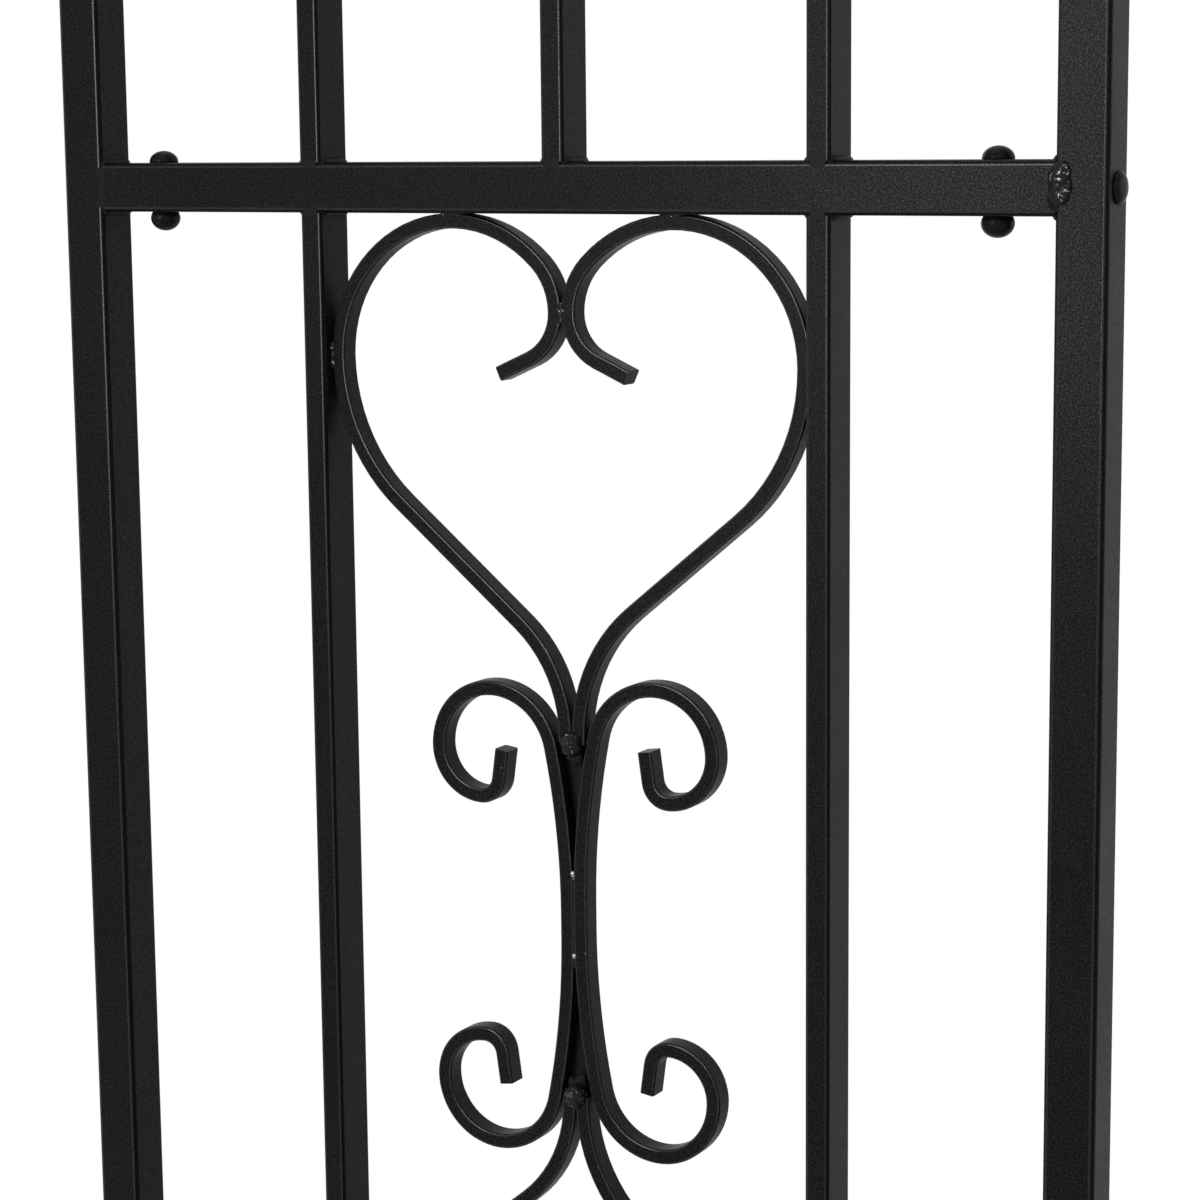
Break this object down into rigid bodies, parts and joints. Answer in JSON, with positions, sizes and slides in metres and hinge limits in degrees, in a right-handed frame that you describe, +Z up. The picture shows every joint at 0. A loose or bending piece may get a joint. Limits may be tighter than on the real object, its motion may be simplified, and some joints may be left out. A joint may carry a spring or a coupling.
{
  "type": "garden arch with gate",
  "caption": "Free-standing garden arch of black steel tube with trellis sides, heart scrollwork, a vine canopy and a double gate with hinges and a sliding latch.",
  "frame": {"origin": "on the ground, midway between the four feet", "axes": "+X across the passage, +Y through the passage away from the gate, +Z up; the gate is on the -Y side"},
  "size_m": [1.23, 0.56, 2.2],
  "materials": {
    "frame_coat": "satin black powder coat with a fine grain",
    "bar_coat": "satin black powder coat with a fine grain",
    "scroll_coat": "satin black powder coat with a fine grain",
    "hinge_coat": "satin black powder coat with a fine grain",
    "latch_coat": "satin black powder coat with a fine grain",
    "fastener_coat": "glossy black paint",
    "inner_steel": "zinc plated, unseen inside the joints"
  },
  "bodies": {
    "arch": {"cap_nuts": "fastener_coat", "crown_sleeves": "inner_steel", "foot_plates": "hinge_coat", "gate_stops": "hinge_coat", "left_eye_rail": "frame_coat", "left_foot_rail": "frame_coat", "left_front_hoop": "frame_coat", "left_front_post": "frame_coat", "left_hinge_pins": "hinge_coat", "left_lower_bars": "bar_coat", "left_middle_bars": "bar_coat", "left_rear_hoop": "frame_coat", "left_rear_post": "frame_coat", "left_side_curls": "scroll_coat", "left_side_hearts": "scroll_coat", "left_top_rail": "frame_coat", "left_upper_bars": "bar_coat", "left_waist_rail": "frame_coat", "post_bolts": "fastener_coat", "post_sleeves": "inner_steel", "rail_bolts": "fastener_coat", "rail_plugs": "inner_steel", "right_eye_rail": "frame_coat", "right_foot_rail": "frame_coat", "right_front_hoop": "frame_coat", "right_front_post": "frame_coat", "right_hinge_pins": "hinge_coat", "right_lower_bars": "bar_coat", "right_middle_bars": "bar_coat", "right_rear_hoop": "frame_coat", "right_rear_post": "frame_coat", "right_side_curls": "scroll_coat", "right_side_hearts": "scroll_coat", "right_top_rail": "frame_coat", "right_upper_bars": "bar_coat", "right_waist_rail": "frame_coat", "rungs": "bar_coat", "sleeve_screws": "fastener_coat", "vine_bars": "bar_coat"},
    "left_gate": {"left_gate_bars": "bar_coat", "left_gate_bottom_rail": "frame_coat", "left_gate_curls": "scroll_coat", "left_gate_hearts": "scroll_coat", "left_gate_hinge_stile": "frame_coat", "left_gate_meeting_stile": "frame_coat", "left_gate_middle_rail": "frame_coat", "left_gate_top_rail": "frame_coat", "left_hinge_eyes": "hinge_coat", "latch_keeper": "latch_coat"},
    "right_gate": {"right_gate_bars": "bar_coat", "right_gate_bottom_rail": "frame_coat", "right_gate_curls": "scroll_coat", "right_gate_hearts": "scroll_coat", "right_gate_hinge_stile": "frame_coat", "right_gate_meeting_stile": "frame_coat", "right_gate_middle_rail": "frame_coat", "right_gate_top_rail": "frame_coat", "right_hinge_eyes": "hinge_coat", "latch_guide": "latch_coat"},
    "latch": {"latch_bolt": "latch_coat"}
  },
  "joints": [
    {"name": "left_gate_swing", "type": "hinge", "parent": "arch", "child": "left_gate", "pos_m": [-0.576, -0.238, 0.5], "axis": [0, 0, -1], "range_deg": [0, 170]},
    {"name": "right_gate_swing", "type": "hinge", "parent": "arch", "child": "right_gate", "pos_m": [0.576, -0.238, 0.5], "axis": [0, 0, 1], "range_deg": [0, 170]},
    {"name": "latch_slide", "type": "slide", "parent": "right_gate", "child": "latch", "axis": [1, 0, 0], "range_m": [-0.036, 0]}
  ]
}
